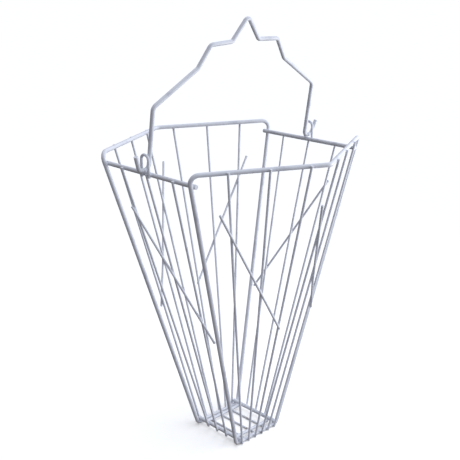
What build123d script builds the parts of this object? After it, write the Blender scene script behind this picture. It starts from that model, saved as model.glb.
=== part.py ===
from build123d import *
import math
import os

# Wire fruit picker basket: a square foot, a six-sided mouth and a bail that swings in two eyes.
# Millimetres. Origin at the centre of the foot, on the plane the basket stands on, +Z up.
# +X is to the right along the bail's hinge, -Y is the front.

# Wire diameters, over the coating
RING_WIRE = 5.4
BAIL_WIRE = 5.2
CROSS_WIRE = 4.4
EYE_WIRE = 3.4
STAY_WIRE = 3.0

# How deep two crossing wires are pressed into each other by their weld
WELD_SINK = 0.2

# Round that the coating leaves on the edge of a cut wire end
END_ROUND = 0.4

# Mouth and foot, measured on the axes of the ring wires, corners taken sharp
RIM_HEIGHT = 400.0
MOUTH_HALF_WIDTH = 147.0
SIDE_HALF_LENGTH = 80.5
MOUTH_HALF_DEPTH = 156.0
FOOT_HALF_WIDTH = 38.5
FOOT_HALF_DEPTH = 38.5

# Bend radii of the rings, on the wire's axis
RIM_BEND = 9.5
KINK_BEND = 9.0
FOOT_BEND = 6.0

# Straight bars that join the two rings, left and right
RIM_BAR_DROP = 14.0
RIM_BAR_OVERHANG = 3.5
FOOT_BAR_STAY_GAP = 0.2

# Floor grid: two cross wires along X, over three rods along Y
CROSS_INSET = 9.6
ROD_PITCH = 19.5
ROD_OVERHANG = 1.5

# Stays: six on the front and back, three on the left and right
RIM_STAY_PITCH = 48.8
FOOT_STAY_PITCH = 12.5
BAR_STAY_PITCH = 46.7
BAR_STAY_FOOT_PITCH = 18.0
STAY_TOP_LENGTH = 2.4
STAY_FOOT_GAP = 0.6
BAR_STAY_FOOT_LENGTH = 2.2

# Diagonal braces, outside the stays: heights where a brace crosses the first and the last stay of
# its panel, as shares of the stay's length, and how far its ends run past them along the wire
SIDE_BRACE_SHARES = (0.866, 0.517)
LEG_BRACE_SHARES = (0.80, 0.457)
KINK_BRACE_SHARES = (0.735, 0.457)
BRACE_BEND = 60.0
SIDE_BRACE_ENDS = (4.0, 37.0)
LEG_BRACE_ENDS = (37.0, 1.5)
KINK_BRACE_ENDS = (70.0, 5.0)

# Upright eyes that hold the bail, on the outside of the rim bars
EYE_PITCH = 13.0
EYE_HEIGHT = 23.5
EYE_TOP_FLAT = 1.0
EYE_FOOT_LENGTH = 3.0

# Hinge line of the bail: how far its hooks clear the rim bars, and its place behind the middle
HOOK_BAR_GAP = 0.3
HINGE_BACK = 1.5

# Bail: its lean to the front, and half of its outline, heights taken from the hinge up
BAIL_LEAN = 9.6
BAIL_SIDE_PLAY = 2.0
BAIL_EYE_GAP = 0.5
HOOK_WIDTH = 13.6
HOOK_BEND = 6.0
HOOK_TIP_OUT = 6.5
HOOK_TIP_HEIGHT = 19.0
SHOULDER_INSET = 0.2
SHOULDER_HEIGHT = 73.9
NECK_HALF_WIDTH = 72.5
NECK_HEIGHT = 112.8
GRIP_HALF_WIDTH = 55.7
GRIP_HEIGHT = 138.6
PEAK_HALF_WIDTH = 22.1
PEAK_FOOT_HEIGHT = 140.1
PEAK_HEIGHT = 168.9
SHOULDER_BEND = 8.0
GRIP_BEND = 7.0
PEAK_BEND = 5.0

# Heights and places that follow from the sizes above
FOOT_WIRE_HEIGHT = RING_WIRE / 2
RIM_BAR_HEIGHT = RIM_HEIGHT - RIM_BAR_DROP
ROD_HEIGHT = STAY_WIRE / 2
CROSS_HEIGHT = ROD_HEIGHT + (STAY_WIRE + CROSS_WIRE) / 2 - WELD_SINK
FOOT_BAR_HEIGHT = FOOT_WIRE_HEIGHT + RING_WIRE - WELD_SINK
CROSS_HALF_DEPTH = FOOT_HALF_DEPTH - CROSS_INSET
HINGE_HEIGHT = RIM_BAR_HEIGHT + (RING_WIRE + BAIL_WIRE) / 2 + HOOK_BAR_GAP
LEG_SLOPE = (MOUTH_HALF_WIDTH - FOOT_HALF_WIDTH) / (RIM_HEIGHT - FOOT_WIRE_HEIGHT)
LEG_LEAN = math.atan(LEG_SLOPE)


def blend(start, end, share):
    """Point at a share of the way from start to end."""
    return start + (end - start) * share


def turn_angle(before, corner, after):
    """Angle in radians by which a route turns at a corner."""
    return math.radians((corner - before).get_angle(after - corner))


def nearest_share(start, end, line_point, line_direction):
    """Share of the way from start to end where this run passes nearest to a line."""
    run = end - start
    normal = run.cross(line_direction)
    return (line_point - start).cross(line_direction).dot(normal) / normal.dot(normal)


def bend_trim(before, corner, after, radius):
    """Length that a bend takes off each of its two runs."""
    return radius * math.tan(turn_angle(before, corner, after) / 2)


def bend_points(before, corner, after, radius):
    """Start, middle and end of the arc that rounds a corner."""
    trim = bend_trim(before, corner, after, radius)
    back = (before - corner).normalized()
    ahead = (after - corner).normalized()
    half_turn = turn_angle(before, corner, after) / 2
    inward = (back + ahead).normalized()
    middle = corner + inward * radius * (1 / math.cos(half_turn) - 1)
    return corner + back * trim, middle, corner + ahead * trim


def swept_wire(points, radii, diameter):
    """Round wire that follows straight runs, rounded at each inner corner."""
    edges = []
    start = points[0]
    for index, radius in enumerate(radii):
        before, corner, after = points[index : index + 3]
        arc_start, arc_middle, arc_end = bend_points(before, corner, after, radius)
        edges.append(Edge.make_line(start, arc_start))
        edges.append(Edge.make_three_point_arc(arc_start, arc_middle, arc_end))
        start = arc_end
    edges.append(Edge.make_line(start, points[-1]))
    section = Plane(origin=points[0], z_dir=points[1] - points[0]) * Circle(diameter / 2)
    return sweep(section, path=Wire(edges))


def rounded_ends(wire):
    """Wire with rounded edges on its two cut ends."""
    return fillet(wire.faces().filter_by(GeomType.PLANE).edges(), END_ROUND)


def bent_wire(points, radii, diameter):
    """Bent round wire with two cut ends."""
    return rounded_ends(swept_wire(points, radii, diameter))


def straight_wire(start, end, diameter):
    """Straight round wire with two cut ends."""
    axis = end - start
    wire = Plane(origin=start, z_dir=axis) * Cylinder(
        diameter / 2, axis.length, align=(Align.CENTER, Align.CENTER, Align.MIN)
    )
    return rounded_ends(wire)


def outward_normal(along, stay_direction, outside):
    """Unit vector square to a wire and to a stay that crosses it, on the outer side."""
    normal = along.cross(stay_direction).normalized()
    return normal if normal.dot(outside) > 0 else normal * -1


# Places on the rings


def foot_corner(side, face):
    """Sharp corner of a ring at the foot; side is -1 left, 1 right, face is -1 front, 1 back."""
    return Vector(side * FOOT_HALF_WIDTH, face * FOOT_HALF_DEPTH, FOOT_WIRE_HEIGHT)


def rim_corner(side, face):
    """Sharp corner of a ring at the top of a leg."""
    return Vector(side * MOUTH_HALF_WIDTH, face * SIDE_HALF_LENGTH, RIM_HEIGHT)


def rim_kink(face):
    """Corner in the middle of the front or the back of the mouth."""
    return Vector(0, face * MOUTH_HALF_DEPTH, RIM_HEIGHT)


def leg_x(height):
    """Distance of a leg's axis from the middle plane at a height."""
    return FOOT_HALF_WIDTH + LEG_SLOPE * (height - FOOT_WIRE_HEIGHT)


def leg_y(height):
    """Distance of a leg's axis from the hinge's plane at a height."""
    share = (height - FOOT_WIRE_HEIGHT) / (RIM_HEIGHT - FOOT_WIRE_HEIGHT)
    return FOOT_HALF_DEPTH + (SIDE_HALF_LENGTH - FOOT_HALF_DEPTH) * share


def rim_bar_x():
    """Rim bars touch the legs from inside."""
    return leg_x(RIM_BAR_HEIGHT) - (RING_WIRE - WELD_SINK) / math.cos(LEG_LEAN)


def foot_bar_x():
    """Foot bars lie on the rings, where their bends start."""
    trim = bend_trim(rim_corner(1, 1), foot_corner(1, 1), foot_corner(-1, 1), FOOT_BEND)
    return FOOT_HALF_WIDTH - trim


# Rings and bars


def ring(face):
    """One closed ring: two legs, a kinked rim and a foot, welded in the middle of the foot."""
    foot_middle = Vector(0, face * FOOT_HALF_DEPTH, FOOT_WIRE_HEIGHT)
    halves = []
    for side in (-1, 1):
        points = [foot_middle, foot_corner(side, face), rim_corner(side, face), rim_kink(face)]
        halves.append(points)
    left, right = halves
    points = left + right[-2:0:-1] + [foot_middle]
    radii = [FOOT_BEND, RIM_BEND, KINK_BEND, RIM_BEND, FOOT_BEND]
    return swept_wire(points, radii, RING_WIRE)


def cross_bar(x, height, half_length):
    """Straight bar along Y."""
    return straight_wire(Vector(x, -half_length, height), Vector(x, half_length, height), RING_WIRE)


def rim_bar(side):
    half_length = leg_y(RIM_BAR_HEIGHT) + RIM_BAR_OVERHANG
    return cross_bar(side * rim_bar_x(), RIM_BAR_HEIGHT, half_length)


def foot_bar(side):
    """Foot bar, cut off just short of the stays outside the rings."""
    half_length = FOOT_HALF_DEPTH + RING_WIRE / 2 - WELD_SINK - FOOT_BAR_STAY_GAP
    return cross_bar(side * foot_bar_x(), FOOT_BAR_HEIGHT, half_length)


# Floor grid


def floor_cross(face):
    """Wire along X, butted between the flanks of the two foot bars."""
    top_over_bar = FOOT_BAR_HEIGHT - CROSS_HEIGHT - CROSS_WIRE / 2
    reach = math.sqrt((RING_WIRE / 2) ** 2 - max(top_over_bar, 0) ** 2)
    end_x = foot_bar_x() - reach + WELD_SINK
    y = face * CROSS_HALF_DEPTH
    return straight_wire(Vector(-end_x, y, CROSS_HEIGHT), Vector(end_x, y, CROSS_HEIGHT), CROSS_WIRE)


def floor_rod(index):
    """Rod along Y under the two cross wires; index is -1, 0 or 1."""
    x = index * ROD_PITCH
    end_y = CROSS_HALF_DEPTH + CROSS_WIRE / 2 + ROD_OVERHANG
    return straight_wire(Vector(x, -end_y, ROD_HEIGHT), Vector(x, end_y, ROD_HEIGHT), STAY_WIRE)


# Stays


def stay_axis(foot, foot_along, top, top_along, outside):
    """Axis of a stay that lies outside two wires: its points at the lower and the upper one."""
    offset = (RING_WIRE + STAY_WIRE) / 2 - WELD_SINK
    direction = top - foot
    lower = foot + outward_normal(foot_along, direction, outside) * offset
    upper = top + outward_normal(top_along, direction, outside) * offset
    return lower, upper


def ring_stay_axis(face, side, index):
    """Stay on the front or back; index 0 is beside the kink, 2 beside the leg."""
    kink = rim_kink(face)
    rim_along = (rim_corner(side, face) - kink).normalized()
    top = kink + rim_along * RIM_STAY_PITCH * (index + 0.5)
    foot_x = side * FOOT_STAY_PITCH * (index + 0.5)
    foot = Vector(foot_x, face * FOOT_HALF_DEPTH, FOOT_WIRE_HEIGHT)
    return stay_axis(foot, Vector(1, 0, 0), top, rim_along, Vector(0, face, 0))


def bar_stay_axis(side, index):
    """Stay on the left or right; index -1 is at the front, 1 at the back."""
    top = Vector(side * rim_bar_x(), index * BAR_STAY_PITCH, RIM_BAR_HEIGHT)
    foot = Vector(side * foot_bar_x(), index * BAR_STAY_FOOT_PITCH, FOOT_BAR_HEIGHT)
    along = Vector(0, 1, 0)
    return stay_axis(foot, along, top, along, Vector(side, 0, 0))


def ring_stay(face, side, index):
    lower, upper = ring_stay_axis(face, side, index)
    direction = (upper - lower).normalized()
    foot_length = (lower.Z - STAY_FOOT_GAP - STAY_WIRE / 2 * math.sin(LEG_LEAN)) / direction.Z
    return straight_wire(
        lower - direction * foot_length, upper + direction * STAY_TOP_LENGTH, STAY_WIRE
    )


def bar_stay(side, index):
    lower, upper = bar_stay_axis(side, index)
    direction = (upper - lower).normalized()
    return straight_wire(
        lower - direction * BAR_STAY_FOOT_LENGTH, upper + direction * STAY_TOP_LENGTH, STAY_WIRE
    )


# Braces


def brace(axes, shares, ends, outside):
    """Diagonal wire over the three stays of a panel, falling from the first stay to the last."""
    high_point = blend(*axes[0], shares[0])
    low_point = blend(*axes[2], shares[1])
    run = low_point - high_point
    middle_point = blend(*axes[1], nearest_share(*axes[1], high_point, run))
    points = [
        point + outward_normal(run, upper - lower, outside) * (STAY_WIRE - WELD_SINK)
        for point, (lower, upper) in zip((high_point, middle_point, low_point), axes)
    ]
    first, middle, last = points
    start = first + (first - middle).normalized() * ends[0]
    end = last + (last - middle).normalized() * ends[1]
    if math.degrees(turn_angle(start, middle, end)) < 0.01:
        return straight_wire(start, end, STAY_WIRE)
    return bent_wire([start, middle, end], [BRACE_BEND], STAY_WIRE)


def side_brace(side):
    """Brace on the left or right, which falls to the right as seen from outside."""
    axes = [bar_stay_axis(side, side * index) for index in (-1, 0, 1)]
    return brace(axes, SIDE_BRACE_SHARES, SIDE_BRACE_ENDS, Vector(side, 0, 0))


def panel_brace(face, side):
    """Brace on one half of the front or back, which falls to the right as seen from outside."""
    starts_at_leg = face * side > 0
    order = (2, 1, 0) if starts_at_leg else (0, 1, 2)
    axes = [ring_stay_axis(face, side, index) for index in order]
    shares = LEG_BRACE_SHARES if starts_at_leg else KINK_BRACE_SHARES
    ends = LEG_BRACE_ENDS if starts_at_leg else KINK_BRACE_ENDS
    return brace(axes, shares, ends, Vector(side, face, 0))


# Eyes and bail


def eye_x():
    """Distance of an eye's plane from the middle plane."""
    return rim_bar_x() + (RING_WIRE + EYE_WIRE) / 2 - WELD_SINK


def eye(side):
    """Hairpin welded to the outside of a rim bar, open between its two limbs."""
    x = side * eye_x()
    low = RIM_BAR_HEIGHT - EYE_FOOT_LENGTH
    high = RIM_BAR_HEIGHT + EYE_HEIGHT
    half = EYE_PITCH / 2
    front = HINGE_BACK - half
    back = HINGE_BACK + half
    points = [Vector(x, y, z) for y, z in ((front, low), (front, high), (back, high), (back, low))]
    bend = half - EYE_TOP_FLAT / 2
    return bent_wire(points, [bend, bend], EYE_WIRE)


def bail_outline():
    """Right half of the bail's route, from the hook's tip to the peak, seen square on."""
    hook_x = eye_x() - (EYE_WIRE + BAIL_WIRE) / 2 - BAIL_EYE_GAP - BAIL_SIDE_PLAY
    hook_end_x = hook_x + HOOK_WIDTH
    return [
        (hook_end_x + HOOK_TIP_OUT, HOOK_TIP_HEIGHT),
        (hook_end_x, 0),
        (hook_x, 0),
        (hook_x - SHOULDER_INSET, SHOULDER_HEIGHT),
        (NECK_HALF_WIDTH, NECK_HEIGHT),
        (GRIP_HALF_WIDTH, GRIP_HEIGHT),
        (PEAK_HALF_WIDTH, PEAK_FOOT_HEIGHT),
        (0, PEAK_HEIGHT),
    ]


def bail():
    """Stepped bail with a pointed peak and an open hook at each end, slid fully to the left."""
    right = [Vector(x, HINGE_BACK, HINGE_HEIGHT + z) for x, z in bail_outline()]
    left = [Vector(-point.X, point.Y, point.Z) for point in right[-2::-1]]
    half_radii = [HOOK_BEND, HOOK_BEND, SHOULDER_BEND, GRIP_BEND, GRIP_BEND, PEAK_BEND]
    radii = half_radii + [PEAK_BEND] + half_radii[::-1]
    wire = bent_wire(right + left, radii, BAIL_WIRE)
    hinge = Axis((0, HINGE_BACK, HINGE_HEIGHT), (1, 0, 0))
    return Pos(-BAIL_SIDE_PLAY, 0, 0) * wire.rotate(hinge, BAIL_LEAN)


def all_nodes():
    """Every piece by its node name."""
    faces = {"front": -1, "back": 1}
    sides = {"left": -1, "right": 1}
    nodes = {"bail": bail()}
    for face_name, face in faces.items():
        nodes[f"ring_{face_name}"] = ring(face)
        nodes[f"floor_cross_{face_name}"] = floor_cross(face)
        for side_name, side in sides.items():
            nodes[f"brace_{face_name}_{side_name}"] = panel_brace(face, side)
            for index in range(3):
                nodes[f"stay_{face_name}_{side_name}_{index + 1}"] = ring_stay(face, side, index)
    for side_name, side in sides.items():
        nodes[f"rim_bar_{side_name}"] = rim_bar(side)
        nodes[f"foot_bar_{side_name}"] = foot_bar(side)
        nodes[f"brace_{side_name}"] = side_brace(side)
        nodes[f"eye_{side_name}"] = eye(side)
        for index in (-1, 0, 1):
            nodes[f"stay_{side_name}_{index + 2}"] = bar_stay(side, index)
    for index in (-1, 0, 1):
        nodes[f"floor_rod_{index + 2}"] = floor_rod(index)
    return nodes


os.makedirs("parts", exist_ok=True)
for node_name, solid in all_nodes().items():
    export_step(solid, f"parts/{node_name}.step")
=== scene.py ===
"""Dresses the wire fruit picker basket: coatings, weld beads, light, floor and camera."""

from __future__ import annotations

import logging
import math
from dataclasses import dataclass, field
from enum import Enum
from typing import Iterator

import bmesh
import bpy
from mathutils import Matrix, Vector
from mathutils.bvhtree import BVHTree


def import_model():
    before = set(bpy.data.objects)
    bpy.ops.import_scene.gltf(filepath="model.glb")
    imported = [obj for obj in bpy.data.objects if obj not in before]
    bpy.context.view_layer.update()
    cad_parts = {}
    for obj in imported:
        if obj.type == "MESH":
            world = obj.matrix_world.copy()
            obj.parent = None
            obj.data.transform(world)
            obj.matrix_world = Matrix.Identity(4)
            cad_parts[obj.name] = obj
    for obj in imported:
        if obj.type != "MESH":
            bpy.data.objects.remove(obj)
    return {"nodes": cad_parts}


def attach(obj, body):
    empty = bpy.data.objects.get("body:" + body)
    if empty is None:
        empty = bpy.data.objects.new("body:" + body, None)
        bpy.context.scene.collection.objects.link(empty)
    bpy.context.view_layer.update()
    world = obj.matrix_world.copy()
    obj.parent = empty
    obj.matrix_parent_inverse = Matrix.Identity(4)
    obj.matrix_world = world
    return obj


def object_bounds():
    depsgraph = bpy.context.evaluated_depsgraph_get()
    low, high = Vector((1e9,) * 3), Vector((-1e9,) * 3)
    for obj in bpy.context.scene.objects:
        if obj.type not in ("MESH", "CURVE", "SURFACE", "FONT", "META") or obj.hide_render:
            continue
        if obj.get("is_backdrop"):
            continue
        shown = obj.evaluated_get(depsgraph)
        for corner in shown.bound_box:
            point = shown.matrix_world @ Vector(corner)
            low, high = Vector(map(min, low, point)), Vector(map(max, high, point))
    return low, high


log = logging.getLogger("fruit_picker_basket")

MM = 0.001
END_SHARE = 0.02  # share of a wire's length that counts as its end
SEARCH_STEP = 1.0 * MM  # step of the search for contacts along a wire
FEWEST_STEPS = 8  # steps of that search on a very short wire

Colour = tuple[float, float, float]


class Body(str, Enum):
    """Rigid bodies of the part that new pieces ride on."""

    BASKET = "basket"


class Slot(str, Enum):
    """Material slots of the part."""

    RING = "ring_coat"
    FLOOR = "floor_coat"
    STAY = "stay_coat"
    BRACE = "brace_coat"
    EYE = "eye_coat"
    BAIL = "bail_coat"


# Finishes


class NodeGraph:
    """Small helper that adds and joins shader nodes in one material or world."""

    def __init__(self, tree: bpy.types.NodeTree) -> None:
        """Starts from an empty tree.

        Args:
            tree: Node tree to fill.
        """
        self.tree = tree
        tree.nodes.clear()

    def add(self, kind: str, **settings: object) -> bpy.types.Node:
        """Adds a node and sets its properties and its inputs.

        Args:
            kind: Name of the node type, without the ShaderNode prefix.
            **settings: Property names, or input names in lower case with underscores.

        Returns:
            The new node.
        """
        node = self.tree.nodes.new(f"ShaderNode{kind}")
        inputs = {
            socket.name.lower().replace(" ", "_"): socket for socket in reversed(node.inputs)
        }
        for name, value in settings.items():
            if name in inputs:
                inputs[name].default_value = value
            else:
                setattr(node, name, value)
        return node

    def join(self, source: bpy.types.NodeSocket, target: bpy.types.NodeSocket) -> None:
        """Links an output socket to an input socket."""
        self.tree.links.new(source, target)


@dataclass(frozen=True)
class CoatedWire:
    """White dipped coating on steel wire.

    Args:
        name: Name of the material.
        colour: Clean coating, linear red, green and blue.
        worn: Thinner or soiled coating, which shows in patches.
        stain: Brown of the rust that creeps out near the foot.
        stain_height: Height below which stains may show, in metres.
        stain_scale: Spots of rust per metre.
        stain_limits: Noise where a spot begins and where it is full.
        roughness: Least and most roughness of the coating.
        patch_scale: Worn patches per metre.
        patch_limits: Noise where a patch begins and where it is full.
        peel_scale: Ripples of the coating per metre.
        peel_depth: Depth of the ripples in metres.
        octave_strength: Strength of each finer octave of noise against the last.
        refraction: Index of refraction of the coating.
    """

    name: str
    colour: Colour = (0.74, 0.762, 0.83)
    worn: Colour = (0.60, 0.62, 0.70)
    stain: Colour = (0.33, 0.22, 0.15)
    stain_height: float = 0.012
    stain_scale: float = 160.0
    stain_limits: tuple[float, float] = (0.60, 0.68)
    roughness: tuple[float, float] = (0.30, 0.46)
    patch_scale: float = 45.0
    patch_limits: tuple[float, float] = (0.52, 0.72)
    peel_scale: float = 420.0
    peel_depth: float = 0.00012
    octave_strength: float = 0.55
    refraction: float = 1.48

    def material(self) -> bpy.types.Material:
        """Builds the coating's material.

        Returns:
            The material, with colour patches, stains near the foot, and rippled gloss.
        """
        made = bpy.data.materials.new(self.name)
        made.use_nodes = True
        graph = NodeGraph(made.node_tree)
        place = graph.add("TexCoord")
        shader = graph.add("BsdfPrincipled", ior=self.refraction, specular_ior_level=0.5)
        output = graph.add("OutputMaterial")
        graph.join(shader.outputs["BSDF"], output.inputs["Surface"])
        patches = self._noise(graph, place, self.patch_scale, detail=4.0)
        wear = self._ramp(graph, patches, *self.patch_limits)
        worn = self._mix(graph, wear, self.colour, self.worn)
        stained = self._stains(graph, place, worn)
        graph.join(stained, shader.inputs["Base Color"])
        gloss = graph.add("MapRange", to_min=self.roughness[0], to_max=self.roughness[1])
        graph.join(patches, gloss.inputs["Value"])
        graph.join(gloss.outputs["Result"], shader.inputs["Roughness"])
        peel = self._noise(graph, place, self.peel_scale, detail=2.0)
        bump = graph.add("Bump", strength=1.0, distance=self.peel_depth)
        graph.join(peel, bump.inputs["Height"])
        graph.join(bump.outputs["Normal"], shader.inputs["Normal"])
        return made

    def _noise(
        self, graph: NodeGraph, place: bpy.types.Node, scale: float, detail: float
    ) -> bpy.types.NodeSocket:
        """Adds cloudy noise in the object's own coordinates.

        Args:
            graph: Tree to add to.
            place: Texture coordinate node.
            scale: Features per metre.
            detail: Octaves of finer noise.

        Returns:
            The noise's value.
        """
        noise = graph.add(
            "TexNoise", scale=scale, detail=detail, roughness=self.octave_strength
        )
        graph.join(place.outputs["Object"], noise.inputs["Vector"])
        return noise.outputs["Fac"]

    def _ramp(
        self, graph: NodeGraph, value: bpy.types.NodeSocket, low: float, high: float
    ) -> bpy.types.NodeSocket:
        """Turns a value into 0 below one limit and 1 above another, smoothly between.

        Args:
            graph: Tree to add to.
            value: Value to turn.
            low: Value that gives 0.
            high: Value that gives 1.

        Returns:
            The share from 0 to 1.
        """
        ramp = graph.add("MapRange", interpolation_type="SMOOTHSTEP", from_min=low, from_max=high)
        graph.join(value, ramp.inputs["Value"])
        return ramp.outputs["Result"]

    def _mix(
        self, graph: NodeGraph, share: bpy.types.NodeSocket, first: Colour, second: Colour
    ) -> bpy.types.NodeSocket:
        """Mixes two colours by a share.

        Args:
            graph: Tree to add to.
            share: Share of the second colour.
            first: Colour at share 0.
            second: Colour at share 1.

        Returns:
            The mixed colour.
        """
        mix = graph.add("MixRGB")
        mix.inputs["Color1"].default_value = (*first, 1.0)
        mix.inputs["Color2"].default_value = (*second, 1.0)
        graph.join(share, mix.inputs["Fac"])
        return mix.outputs["Color"]

    def _stains(
        self, graph: NodeGraph, place: bpy.types.Node, colour: bpy.types.NodeSocket
    ) -> bpy.types.NodeSocket:
        """Adds rust stains that fade out above the foot.

        Args:
            graph: Tree to add to.
            place: Texture coordinate node.
            colour: Colour without the stains.

        Returns:
            The colour with the stains.
        """
        split = graph.add("SeparateXYZ")
        graph.join(place.outputs["Object"], split.inputs["Vector"])
        low = self._ramp(graph, split.outputs["Z"], self.stain_height, 0.0)
        cloud = self._noise(graph, place, self.stain_scale, detail=3.0)
        spots = self._ramp(graph, cloud, *self.stain_limits)
        both = graph.add("Math", operation="MULTIPLY")
        graph.join(low, both.inputs[0])
        graph.join(spots, both.inputs[1])
        mix = graph.add("MixRGB")
        mix.inputs["Color2"].default_value = (*self.stain, 1.0)
        graph.join(both.outputs["Value"], mix.inputs["Fac"])
        graph.join(colour, mix.inputs["Color1"])
        return mix.outputs["Color"]


@dataclass(frozen=True)
class WhiteFloor:
    """Matt white floor of the studio, lit a little from below.

    Args:
        name: Name of the material.
        colour: Colour of the floor.
        glow: Strength of the light from below.
    """

    name: str = "studio_white"
    colour: Colour = (0.9, 0.9, 0.9)
    glow: float = 0.3

    def material(self) -> bpy.types.Material:
        """Builds the floor's material.

        Returns:
            The material, matt and faintly glowing.
        """
        made = bpy.data.materials.new(self.name)
        made.use_nodes = True
        shader = made.node_tree.nodes["Principled BSDF"]
        shader.inputs["Base Color"].default_value = (*self.colour, 1.0)
        shader.inputs["Roughness"].default_value = 1.0
        shader.inputs["Specular IOR Level"].default_value = 0.0
        shader.inputs["Emission Color"].default_value = (*self.colour, 1.0)
        shader.inputs["Emission Strength"].default_value = self.glow
        return made


# Wires of the part, read from the frame


@dataclass
class StraightWire:
    """A straight wire of the part, found from its mesh.

    Args:
        start: Centre of one end.
        end: Centre of the other end.
        radius: Radius over the coating.
    """

    start: Vector
    end: Vector
    radius: float

    @classmethod
    def of(cls, wire: bpy.types.Object) -> StraightWire:
        """Finds the axis and the radius of a node that is one straight round wire.

        Args:
            wire: The node's object.

        Returns:
            The wire.
        """
        corners = [vertex.co for vertex in wire.data.vertices]
        middle = sum(corners, Vector()) / len(corners)
        axis = max(corners, key=lambda corner: (corner - middle).length) - middle
        for _ in range(2):
            ends = cls._end_centres(corners, middle, axis.normalized())
            axis = ends[1] - ends[0]
            middle = (ends[0] + ends[1]) / 2
        direction = axis.normalized()
        radius = max((corner - middle).cross(direction).length for corner in corners)
        return cls(ends[0], ends[1], radius)

    @staticmethod
    def _end_centres(corners: list[Vector], middle: Vector, direction: Vector) -> list[Vector]:
        """Centres of the two ends.

        Args:
            corners: All vertices of the wire.
            middle: A point near the middle of the wire.
            direction: Unit vector near the wire's direction.

        Returns:
            The two centres, the one behind first.
        """
        reach = [(corner - middle).dot(direction) for corner in corners]
        low, high = min(reach), max(reach)
        near = END_SHARE * (high - low)
        ends = []
        for limit in (low, high):
            end = [corner for corner, value in zip(corners, reach) if abs(value - limit) < near]
            centre = sum(end, Vector()) / len(end)
            ends.append(centre)
        return ends

    def point(self, share: float) -> Vector:
        """Point on the axis at a share of the way from start to end."""
        return self.start.lerp(self.end, share)

    @property
    def length(self) -> float:
        """Length of the wire."""
        return (self.end - self.start).length


@dataclass
class Contact:
    """A place where two wires touch.

    Args:
        place: Point between the two wires.
        normal: Unit vector from the straight wire's axis to the other wire.
        along: Unit vector along the straight wire.
    """

    place: Vector
    normal: Vector
    along: Vector


def contacts(
    wire: StraightWire, other: bpy.types.Object, reach: float = 0.4 * MM
) -> Iterator[Contact]:
    """Finds where a straight wire touches another node.

    Args:
        wire: The straight wire.
        other: Object of the other node.
        reach: Widest gap that still counts as touching.

    Yields:
        Each contact along the wire.
    """
    tree = BVHTree.FromObject(other, bpy.context.evaluated_depsgraph_get())
    steps = max(FEWEST_STEPS, round(wire.length / SEARCH_STEP))
    axis = [wire.point(step / steps) for step in range(steps + 1)]
    gaps = [tree.find_nearest(point)[3] for point in axis]
    along = (wire.end - wire.start).normalized()
    for step, gap in enumerate(gaps):
        before = gaps[step - 1] if step else math.inf
        after = gaps[step + 1] if step < steps else math.inf
        if gap < wire.radius + reach and gap <= before and gap < after:
            surface = tree.find_nearest(axis[step])[0]
            normal = (surface - axis[step]).normalized()
            yield Contact(surface, normal, along)


# Pieces


def finished_piece(
    name: str, mesh: bmesh.types.BMesh, body: Body, slot: Slot, finish: bpy.types.Material
) -> bpy.types.Object:
    """Turns a bmesh into a smooth piece that rides on a body.

    Args:
        name: Name of the piece.
        mesh: Its mesh, which is freed.
        body: Body that it rides on.
        slot: Material slot of the piece's group; not used.
        finish: Its material.

    Returns:
        The new object.
    """
    data = bpy.data.meshes.new(name)
    for face in mesh.faces:
        face.smooth = True
    mesh.to_mesh(data)
    mesh.free()
    data.materials.append(finish)
    piece = bpy.data.objects.new(name, data)
    bpy.context.scene.collection.objects.link(piece)
    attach(piece, body.value)
    return piece


@dataclass
class WeldBeads:
    """Beads of coated weld metal in the nooks where wires cross.

    Args:
        spread: How far a bead reaches past the thinner wire, as a share of its radius.
        flatness: Half thickness of a bead, as a share of the wire's radius.
        stretch: Length of a bead along the straight wire, as a share of its width.
        largest: Greatest wire radius that sizes a bead, as on every thicker wire.
        fineness: Subdivisions of the round shape that a bead starts from.
    """

    spread: float = 0.22
    flatness: float = 0.60
    stretch: float = 1.15
    largest: float = 1.8 * MM
    fineness: int = 3

    def add(self, mesh: bmesh.types.BMesh, contact: Contact, radius: float) -> None:
        """Adds one bead.

        Args:
            mesh: Mesh that collects the beads.
            contact: Where the wires touch.
            radius: Radius of the straight wire.
        """
        radius = min(radius, self.largest)
        width = radius * (1.0 + self.spread)
        ball = bmesh.ops.create_icosphere(mesh, subdivisions=self.fineness, radius=1.0)
        across = contact.normal.cross(contact.along).normalized()
        along = across.cross(contact.normal).normalized()
        turn = Matrix((across, along, contact.normal)).transposed().to_4x4()
        scale = Matrix.Diagonal((width, width * self.stretch, radius * self.flatness, 1.0))
        place = Matrix.Translation(contact.place) @ turn @ scale
        bmesh.ops.transform(mesh, matrix=place, verts=ball["verts"])


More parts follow.
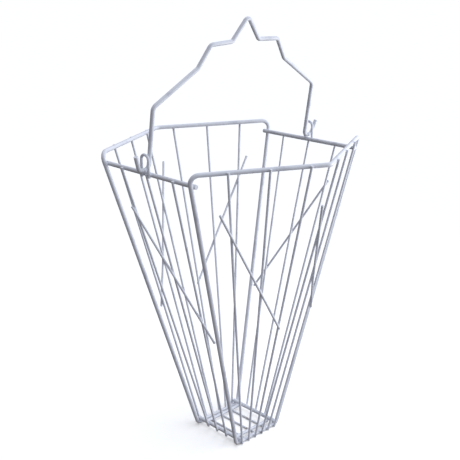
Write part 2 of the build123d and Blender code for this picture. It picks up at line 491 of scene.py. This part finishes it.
@dataclass
class WireGroup:
    """A group of the part's wires with one finish, and the welds that join them to others.

    Args:
        name: Plain name of the group.
        prefixes: Node names, or the beginnings of node names, that belong to the group.
        slot: Material slot of the group.
        finish: Coating of the group.
        welded_to: Beginnings of the names of nodes that the group is welded to.
        beads: Form of the group's weld beads.
    """

    name: str
    prefixes: tuple[str, ...]
    slot: Slot
    finish: CoatedWire
    welded_to: tuple[str, ...] = ()
    beads: WeldBeads = field(default_factory=WeldBeads)

    def dress(self, nodes: dict[str, bpy.types.Object]) -> bpy.types.Material:
        """Gives every wire of the group its coating.

        Args:
            nodes: All nodes of the part by name.

        Returns:
            The group's material.
        """
        coating = self.finish.material()
        for wire in self.members(nodes, self.prefixes):
            wire.data.materials.clear()
            wire.data.materials.append(coating)
        return coating

    def weld(self, nodes: dict[str, bpy.types.Object], coating: bpy.types.Material) -> int:
        """Builds the beads between the group's straight wires and what they are welded to.

        Args:
            nodes: All nodes of the part by name.
            coating: The group's material.

        Returns:
            The number of beads.
        """
        mesh = bmesh.new()
        count = 0
        for wire_node in self.members(nodes, self.prefixes):
            wire = StraightWire.of(wire_node)
            for other in self.members(nodes, self.welded_to):
                for contact in contacts(wire, other):
                    self.beads.add(mesh, contact, wire.radius)
                    count += 1
        finished_piece(f"{self.name}_welds", mesh, Body.BASKET, self.slot, coating)
        return count

    @staticmethod
    def members(
        nodes: dict[str, bpy.types.Object], prefixes: tuple[str, ...]
    ) -> list[bpy.types.Object]:
        """Nodes whose names begin with one of the prefixes, in order of name."""
        return [nodes[name] for name in sorted(nodes) if name.startswith(prefixes)]


# Stage


@dataclass(frozen=True)
class SoftLight:
    """A broad light far away.

    Args:
        name: Name of the light.
        strength: Its strength.
        softness: Its apparent width in degrees.
        toward: Direction towards it.
    """

    name: str
    strength: float
    softness: float
    toward: tuple[float, float, float]

    def hang(self) -> None:
        """Adds the light to the scene."""
        lamp = bpy.data.lights.new(self.name, "SUN")
        lamp.energy = self.strength
        lamp.angle = math.radians(self.softness)
        light = bpy.data.objects.new(self.name, lamp)
        light.rotation_mode = "QUATERNION"
        light.rotation_quaternion = Vector(self.toward).to_track_quat("Z", "Y")
        bpy.context.scene.collection.objects.link(light)


@dataclass(frozen=True)
class SoftBox:
    """A square light close to the basket.

    Args:
        name: Name of the light.
        power: Its power in watts.
        width: Its width in metres.
        place: Its place in metres.
        target: Point that it faces, in metres.
    """

    name: str
    power: float
    width: float
    place: tuple[float, float, float]
    target: tuple[float, float, float]

    def hang(self) -> None:
        """Adds the light to the scene, unseen by the camera itself."""
        lamp = bpy.data.lights.new(self.name, "AREA")
        lamp.energy = self.power
        lamp.size = self.width
        light = bpy.data.objects.new(self.name, lamp)
        away = Vector(self.place) - Vector(self.target)
        light.location = self.place
        light.rotation_mode = "QUATERNION"
        light.rotation_quaternion = away.to_track_quat("Z", "Y")
        light.visible_camera = False
        bpy.context.scene.collection.objects.link(light)


@dataclass
class Studio:
    """Pale floor, bright room and soft lights.

    Args:
        floor_radius: Radius of the floor.
        floor_sides: Straight sides of the floor's edge.
        sky: Light from the bright side of the room.
        ground: Light from the dark side of the room.
        sky_strength: Strength of the bright side.
        ground_strength: Strength of the dark side.
        bright_side: Direction towards the brightest part of the room.
        fade: Where the dark side ends and the bright side is full, from -1 to 1 along it.
        lights: Lights from overhead and from close by on the right.
    """

    floor_radius: float = 40.0
    floor_sides: int = 64
    sky: Colour = (0.86, 0.90, 1.0)
    ground: Colour = (1.0, 0.94, 0.90)
    sky_strength: float = 1.0
    ground_strength: float = 0.15
    bright_side: tuple[float, float, float] = (0.51, -0.48, 0.7)
    fade: tuple[float, float] = (-0.35, 0.8)
    lights: tuple[SoftLight | SoftBox, ...] = (
        SoftLight("overhead", 0.5, 30.0, (0.10, 0.20, 0.93)),
        SoftBox("near_right", 3.0, 0.50, (0.50, -0.40, 0.30), (0.05, -0.02, 0.38)),
    )

    def floor(self) -> None:
        """Lays the floor, which the wires' own light and reflections leave out."""
        mesh = bmesh.new()
        bmesh.ops.create_circle(
            mesh, cap_ends=True, segments=self.floor_sides, radius=self.floor_radius
        )
        data = bpy.data.meshes.new("floor")
        mesh.to_mesh(data)
        mesh.free()
        data.materials.append(WhiteFloor().material())
        floor = bpy.data.objects.new("floor", data)
        floor.visible_diffuse = False
        floor.visible_glossy = False
        bpy.context.scene.collection.objects.link(floor)
        floor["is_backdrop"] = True

    def room(self) -> None:
        """Makes the room: soft light from one side and above, dim from below, white behind."""
        world = bpy.data.worlds.new("room")
        world.use_nodes = True
        bpy.context.scene.world = world
        graph = NodeGraph(world.node_tree)
        place = graph.add("TexCoord")
        toward = graph.add("VectorMath", operation="DOT_PRODUCT")
        toward.inputs[1].default_value = Vector(self.bright_side).normalized()
        graph.join(place.outputs["Generated"], toward.inputs[0])
        dark, full = self.fade
        share = graph.add(
            "MapRange", interpolation_type="SMOOTHSTEP", from_min=dark, from_max=full
        )
        graph.join(toward.outputs["Value"], share.inputs["Value"])
        dim = graph.add("Background", strength=self.ground_strength, color=(*self.ground, 1.0))
        bright = graph.add("Background", strength=self.sky_strength, color=(*self.sky, 1.0))
        light = graph.add("MixShader")
        graph.join(share.outputs["Result"], light.inputs["Fac"])
        graph.join(dim.outputs["Background"], light.inputs[1])
        graph.join(bright.outputs["Background"], light.inputs[2])
        white = graph.add("Background", strength=1.0, color=(1.0, 1.0, 1.0, 1.0))
        path = graph.add("LightPath")
        seen = graph.add("MixShader")
        graph.join(path.outputs["Is Camera Ray"], seen.inputs["Fac"])
        graph.join(light.outputs["Shader"], seen.inputs[1])
        graph.join(white.outputs["Background"], seen.inputs[2])
        output = graph.add("OutputWorld")
        graph.join(seen.outputs["Shader"], output.inputs["Surface"])


@dataclass
class ViewPoint:
    """The camera.

    Args:
        place: Place of the camera in metres.
        azimuth: Turn of the view about the upright, 0 looking along +Y.
        elevation: Angle of the camera above the horizon, looking down.
        roll: Turn of the view about its own axis.
        lens: Focal length in millimetres.
        sensor: Width of the sensor in millimetres.
    """

    place: tuple[float, float, float] = (-0.7230, -0.7506, 0.6260)
    azimuth: float = -43.54
    elevation: float = 18.04
    roll: float = -0.54
    lens: float = 66.0
    sensor: float = 36.0

    def build(self) -> None:
        """Places the camera and makes it the scene's."""
        data = bpy.data.cameras.new("camera")
        data.lens = self.lens
        data.sensor_width = self.sensor
        camera = bpy.data.objects.new("camera", data)
        turn = Matrix.Rotation(math.radians(self.azimuth), 4, "Z")
        tip = Matrix.Rotation(math.radians(90.0 - self.elevation), 4, "X")
        roll = Matrix.Rotation(math.radians(self.roll), 4, "Z")
        camera.matrix_world = Matrix.Translation(self.place) @ turn @ tip @ roll
        bpy.context.scene.collection.objects.link(camera)
        bpy.context.scene.camera = camera


def wire_groups() -> list[WireGroup]:
    """All groups of wires, each with its coating."""
    return [
        WireGroup("ring", ("ring_",), Slot.RING, CoatedWire("ring_coating")),
        WireGroup(
            "bar",
            ("rim_bar_", "foot_bar_"),
            Slot.RING,
            CoatedWire("bar_coating"),
            ("ring_", "eye_"),
        ),
        WireGroup(
            "floor_cross",
            ("floor_cross_",),
            Slot.FLOOR,
            CoatedWire("cross_wire_coating"),
            ("foot_bar_",),
        ),
        WireGroup(
            "floor_rod", ("floor_rod_",), Slot.FLOOR, CoatedWire("rod_coating"), ("floor_cross_",)
        ),
        WireGroup(
            "stay",
            ("stay_",),
            Slot.STAY,
            CoatedWire("stay_coating"),
            ("ring_", "rim_bar_", "foot_bar_", "brace_"),
        ),
        WireGroup("brace", ("brace_",), Slot.BRACE, CoatedWire("brace_coating")),
        WireGroup("eye", ("eye_",), Slot.EYE, CoatedWire("eye_coating")),
        WireGroup("bail", ("bail",), Slot.BAIL, CoatedWire("bail_coating")),
    ]


def main() -> list[Vector]:
    """Builds the scene around the frame.

    Returns:
        Lowest and highest corner of the bare part.
    """
    logging.basicConfig(level=logging.INFO, format="%(name)s: %(message)s")
    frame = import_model()
    bare = list(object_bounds())
    nodes = frame["nodes"]
    ViewPoint().build()
    studio = Studio()
    studio.floor()
    studio.room()
    for light in studio.lights:
        light.hang()
    bpy.context.scene.view_settings.view_transform = "Standard"
    for group in wire_groups():
        coating = group.dress(nodes)
        log.info("%s: coated", group.name)
        if group.welded_to:
            log.info("%s: %d weld beads", group.name, group.weld(nodes, coating))
    return bare


if __name__ == "__main__":
    cad_box = main()
